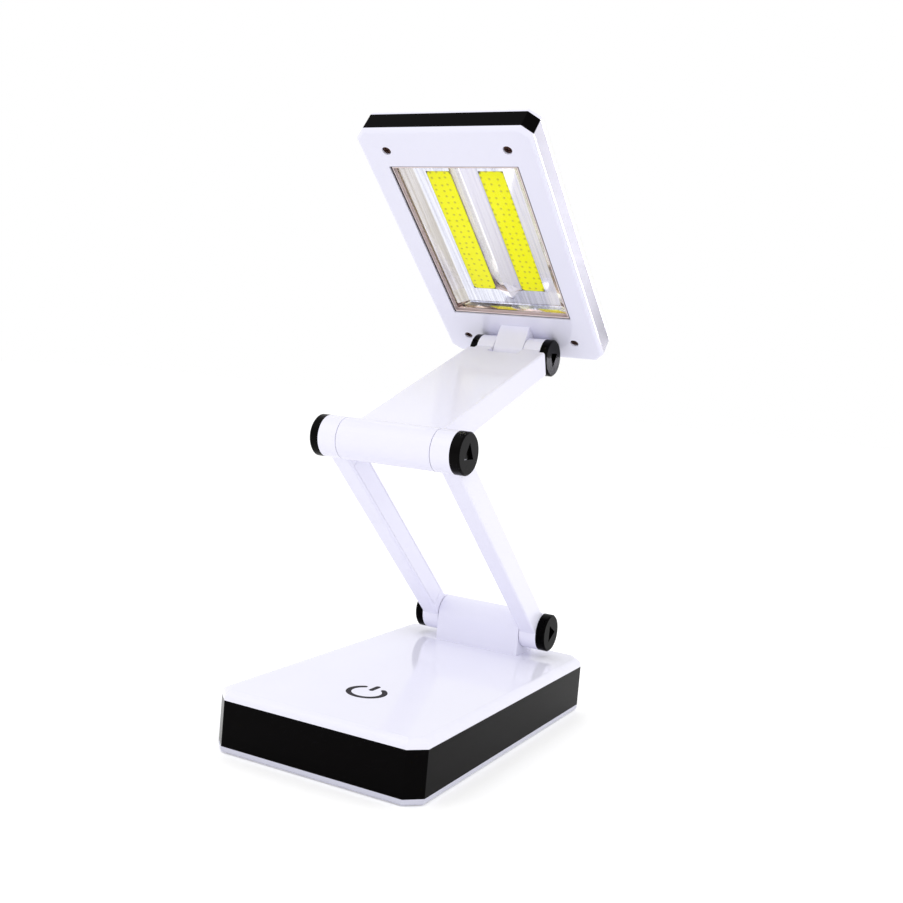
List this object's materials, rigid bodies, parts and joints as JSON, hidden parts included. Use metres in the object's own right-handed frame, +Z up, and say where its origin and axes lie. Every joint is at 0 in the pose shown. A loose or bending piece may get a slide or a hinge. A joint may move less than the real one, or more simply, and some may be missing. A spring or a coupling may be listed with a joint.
{
  "type": "folding led desk lamp",
  "caption": "Folding desk lamp: a flat base, a two-rail lower arm, a flat upper arm and a flat head with two light strips, on three friction hinges.",
  "frame": {"origin": "middle of the base's footprint, on the table", "axes": "+Z up, front towards -Y (the head leans over the front), +X to the right seen from the front; the hinge axes lie along X"},
  "size_m": [0.09, 0.1647, 0.2497],
  "materials": {
    "rubber_grey": "matt",
    "tray_white": "satin",
    "cover_white": "gloss",
    "arm_white": "gloss",
    "band_black": "high gloss",
    "cap_black": "gloss",
    "steel": "plated",
    "screw_brown": "dark plated",
    "board_green": "solder mask",
    "chips_black": "matt",
    "touch_copper": "bare",
    "holder_black": "matt",
    "cell_jacket": "gloss sleeve",
    "wire_red": "soft sleeve",
    "lens_clear": "clear, polished",
    "reflector_bright": "vacuum plated, mirror bright",
    "phosphor_yellow": "soft phosphor coat",
    "aluminium_plate": "plain"
  },
  "bodies": {
    "base": {"rubber_feet": "rubber_grey", "base_tray": "tray_white", "tray_screws": "steel", "base_band": "band_black", "base_top_cover": "cover_white", "hinge_block": "cover_white", "hinge_plate": "steel", "hinge_plate_screws": "steel", "control_board": "board_green", "board_parts": "chips_black", "touch_disc": "touch_copper", "touch_spring": "steel", "battery_holder": "holder_black", "battery_cells": "cell_jacket", "battery_contacts": "steel", "base_wires": "wire_red", "battery_door": "tray_white", "door_screw": "steel"},
    "lower_arm": {"left_rail": "arm_white", "right_rail": "arm_white", "left_rail_cover": "arm_white", "right_rail_cover": "arm_white", "lower_arm_wires": "wire_red", "base_hinge_pin": "steel", "base_hinge_washers": "steel", "base_hinge_nut": "steel", "base_hinge_caps": "cap_black", "elbow_pin": "steel", "elbow_washers": "steel", "elbow_nut": "steel", "elbow_caps": "cap_black"},
    "upper_arm": {"upper_arm_body": "arm_white", "upper_arm_cover": "arm_white", "upper_arm_screws": "steel", "upper_arm_wires": "wire_red", "head_hinge_pin": "steel", "head_hinge_washers": "steel", "head_hinge_nut": "steel", "head_hinge_caps": "cap_black"},
    "head": {"head_knuckle": "arm_white", "knuckle_screws": "steel", "head_bezel": "cover_white", "head_band": "band_black", "head_back_cover": "cover_white", "head_screws": "screw_brown", "lens": "lens_clear", "reflector": "reflector_bright", "light_strip_left": "phosphor_yellow", "light_strip_right": "phosphor_yellow", "led_boards": "aluminium_plate", "heat_spreader": "aluminium_plate", "head_wires": "wire_red"}
  },
  "joints": [
    {"name": "base_hinge", "type": "hinge", "parent": "base", "child": "lower_arm", "pos_m": [0, 0.0618, 0.03505], "axis": [1, 0, 0], "range_deg": [-79.3, 40.7]},
    {"name": "elbow_hinge", "type": "hinge", "parent": "lower_arm", "child": "upper_arm", "pos_m": [0, -0.03676, 0.11982], "axis": [1, 0, 0], "range_deg": [-61, 119]},
    {"name": "head_hinge", "type": "hinge", "parent": "upper_arm", "child": "head", "pos_m": [0, 0.06669, 0.15809], "axis": [1, 0, 0], "range_deg": [-115, 58.7]}
  ],
  "couplings": [
    {"joint": "head_hinge", "follows": "elbow_hinge", "ratio": -0.962}
  ]
}
